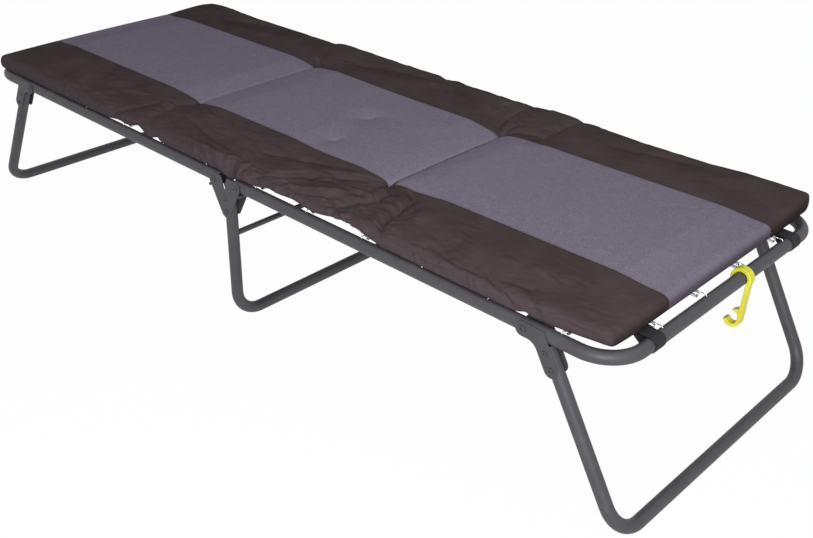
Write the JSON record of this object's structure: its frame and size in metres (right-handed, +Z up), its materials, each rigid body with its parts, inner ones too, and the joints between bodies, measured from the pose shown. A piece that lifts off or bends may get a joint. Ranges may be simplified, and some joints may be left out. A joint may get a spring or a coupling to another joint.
{
  "type": "folding cot",
  "caption": "Folding cot with a tubular steel frame hinged over its middle leg, folding end legs, a sprung sheet, a padded cover and a storage hook.",
  "frame": {"origin": "on the floor, below the middle of the cot", "axes": "+X along the cot towards the end with the hook, -Y the long side shown nearer, +Z up"},
  "size_m": [1.9902, 0.7082, 0.3835],
  "materials": {
    "tube_coat": "charcoal powder coat with a fine texture and a faint sparkle",
    "plate_coat": "charcoal powder coat on pressed steel plate",
    "rivet_coat": "steel rivets painted with the frame, worn at the rims",
    "black_plastic": "matt black moulded plastic",
    "deck_fabric": "tightly woven black polyester sheet",
    "eyelet_metal": "nickel-plated eyelets",
    "spring_steel": "bright zinc-plated spring wire",
    "pad_cover": "brown-black polyester cover with a soft sheen",
    "pad_panel": "purple-grey heather weave, matt",
    "strap_webbing": "black woven webbing",
    "hook_plastic": "lime yellow moulded plastic, slightly glossy"
  },
  "bodies": {
    "middle_leg": {"middle_leg_tube": "tube_coat", "middle_leg_brace": "tube_coat", "middle_hinge_plate_near_outer": "plate_coat", "middle_hinge_plate_near_inner": "plate_coat", "middle_hinge_plate_far_outer": "plate_coat", "middle_hinge_plate_far_inner": "plate_coat", "middle_leg_rivets": "rivet_coat", "fold_pivot_rivets": "rivet_coat"},
    "left_frame": {"left_frame_tube": "tube_coat", "left_frame_plugs": "black_plastic", "left_stop_bars": "plate_coat", "left_deck": "deck_fabric", "left_eyelets": "eyelet_metal", "left_side_springs": "spring_steel", "left_end_springs": "spring_steel", "left_pad_middle_half": "pad_cover", "left_pad_end_section": "pad_cover", "left_straps": "strap_webbing"},
    "left_leg": {"left_leg_tube": "tube_coat", "left_leg_plate_near_outer": "plate_coat", "left_leg_plate_near_inner": "plate_coat", "left_leg_plate_far_outer": "plate_coat", "left_leg_plate_far_inner": "plate_coat", "left_leg_pivot_rivets": "rivet_coat", "left_leg_rivets": "rivet_coat"},
    "right_frame": {"right_frame_tube": "tube_coat", "right_frame_plugs": "black_plastic", "right_stop_bars": "plate_coat", "right_deck": "deck_fabric", "right_eyelets": "eyelet_metal", "right_side_springs": "spring_steel", "right_end_springs": "spring_steel", "right_pad_middle_half": "pad_cover", "right_pad_end_section": "pad_cover", "right_straps": "strap_webbing"},
    "right_leg": {"right_leg_tube": "tube_coat", "right_leg_plate_near_outer": "plate_coat", "right_leg_plate_near_inner": "plate_coat", "right_leg_plate_far_outer": "plate_coat", "right_leg_plate_far_inner": "plate_coat", "right_leg_pivot_rivets": "rivet_coat", "right_leg_rivets": "rivet_coat"},
    "hook": {"storage_hook": "hook_plastic"}
  },
  "joints": [
    {"name": "left_fold", "type": "hinge", "parent": "middle_leg", "child": "left_frame", "pos_m": [-0.035, 0, 0.3335], "axis": [0, 1, 0], "range_deg": [0, 90], "deforming": ["left_pad_middle_half", "left_pad_end_section"]},
    {"name": "right_fold", "type": "hinge", "parent": "middle_leg", "child": "right_frame", "pos_m": [0.035, 0, 0.3335], "axis": [0, -1, 0], "range_deg": [0, 90], "deforming": ["right_pad_middle_half", "right_pad_end_section"]},
    {"name": "left_leg_fold", "type": "hinge", "parent": "left_frame", "child": "left_leg", "pos_m": [-0.765, 0, 0.3335], "axis": [0, -1, 0], "range_deg": [0, 120]},
    {"name": "right_leg_fold", "type": "hinge", "parent": "right_frame", "child": "right_leg", "pos_m": [0.765, 0, 0.3335], "axis": [0, 1, 0], "range_deg": [0, 120]},
    {"name": "hook_swing", "type": "hinge", "parent": "right_frame", "child": "hook", "pos_m": [0.9375, 0.055, 0.3335], "axis": [0, -1, 0], "range_deg": [-30, 150]}
  ]
}
